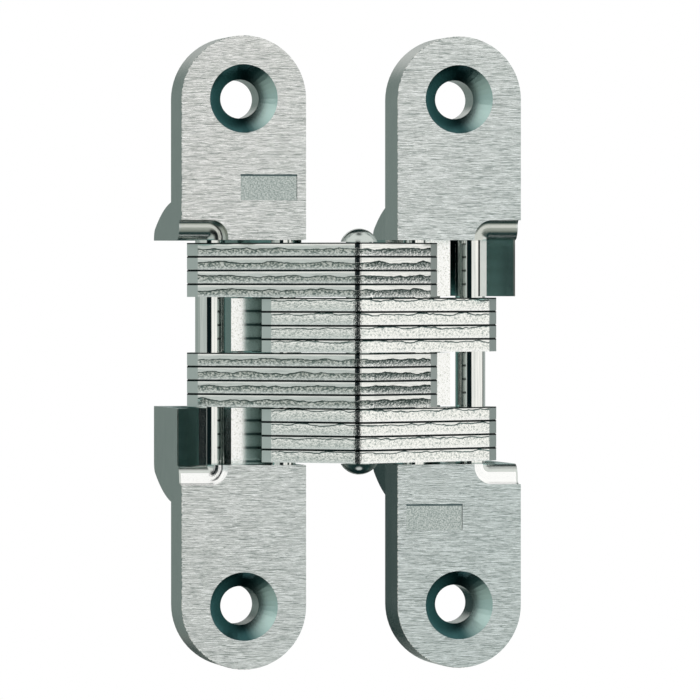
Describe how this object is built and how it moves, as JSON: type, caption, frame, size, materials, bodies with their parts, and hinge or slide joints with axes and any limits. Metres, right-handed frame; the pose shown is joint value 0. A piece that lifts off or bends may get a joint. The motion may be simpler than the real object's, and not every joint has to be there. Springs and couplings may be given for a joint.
{
  "type": "concealed hinge",
  "caption": "Concealed hinge: two round-ended leaves with deep cast bodies, joined by a pack of interleaved steel links on round pins, opening flat.",
  "frame": {"origin": "middle of the left leaf's two screw holes, on its face", "axes": "+X across to the right leaf, +Y into the depth of the leaves, +Z along the hinge"},
  "size_m": [0.0517, 0.0371, 0.0952],
  "materials": {
    "plated_casting": "satin plated zinc casting, brushed face",
    "link_steel": "plated pressed steel, blanked edges",
    "polished_pin": "polished"
  },
  "bodies": {
    "left_leaf": {"left_leaf": "plated_casting", "left_pivot_pin": "polished_pin"},
    "near_links": {"link_plate_05": "link_steel", "link_plate_06": "link_steel", "link_plate_07": "link_steel", "link_plate_08": "link_steel", "link_plate_13": "link_steel", "link_plate_14": "link_steel", "link_plate_15": "link_steel", "link_plate_16": "link_steel", "centre_rivet": "polished_pin", "right_slide_pin": "polished_pin"},
    "far_links": {"link_plate_01": "link_steel", "link_plate_02": "link_steel", "link_plate_03": "link_steel", "link_plate_04": "link_steel", "link_plate_09": "link_steel", "link_plate_10": "link_steel", "link_plate_11": "link_steel", "link_plate_12": "link_steel", "left_slide_pin": "polished_pin"},
    "right_leaf": {"right_leaf": "plated_casting", "right_pivot_pin": "polished_pin"}
  },
  "joints": [
    {"name": "left_pivot", "type": "hinge", "parent": "left_leaf", "child": "near_links", "pos_m": [0.00635, 0.003, 0], "axis": [0, 0, -1], "range_deg": [0, 120]},
    {"name": "centre_pivot", "type": "hinge", "parent": "near_links", "child": "far_links", "pos_m": [0.01642, -0.0062, 0], "axis": [0, 0, 1], "range_deg": [0, 60]},
    {"name": "right_pivot", "type": "hinge", "parent": "far_links", "child": "right_leaf", "pos_m": [0.0265, 0.003, 0], "axis": [0, 0, -1], "range_deg": [0, 120]}
  ],
  "couplings": [
    {"joint": "centre_pivot", "follows": "left_pivot", "ratio": 0.5},
    {"joint": "right_pivot", "follows": "left_pivot", "ratio": 1}
  ]
}
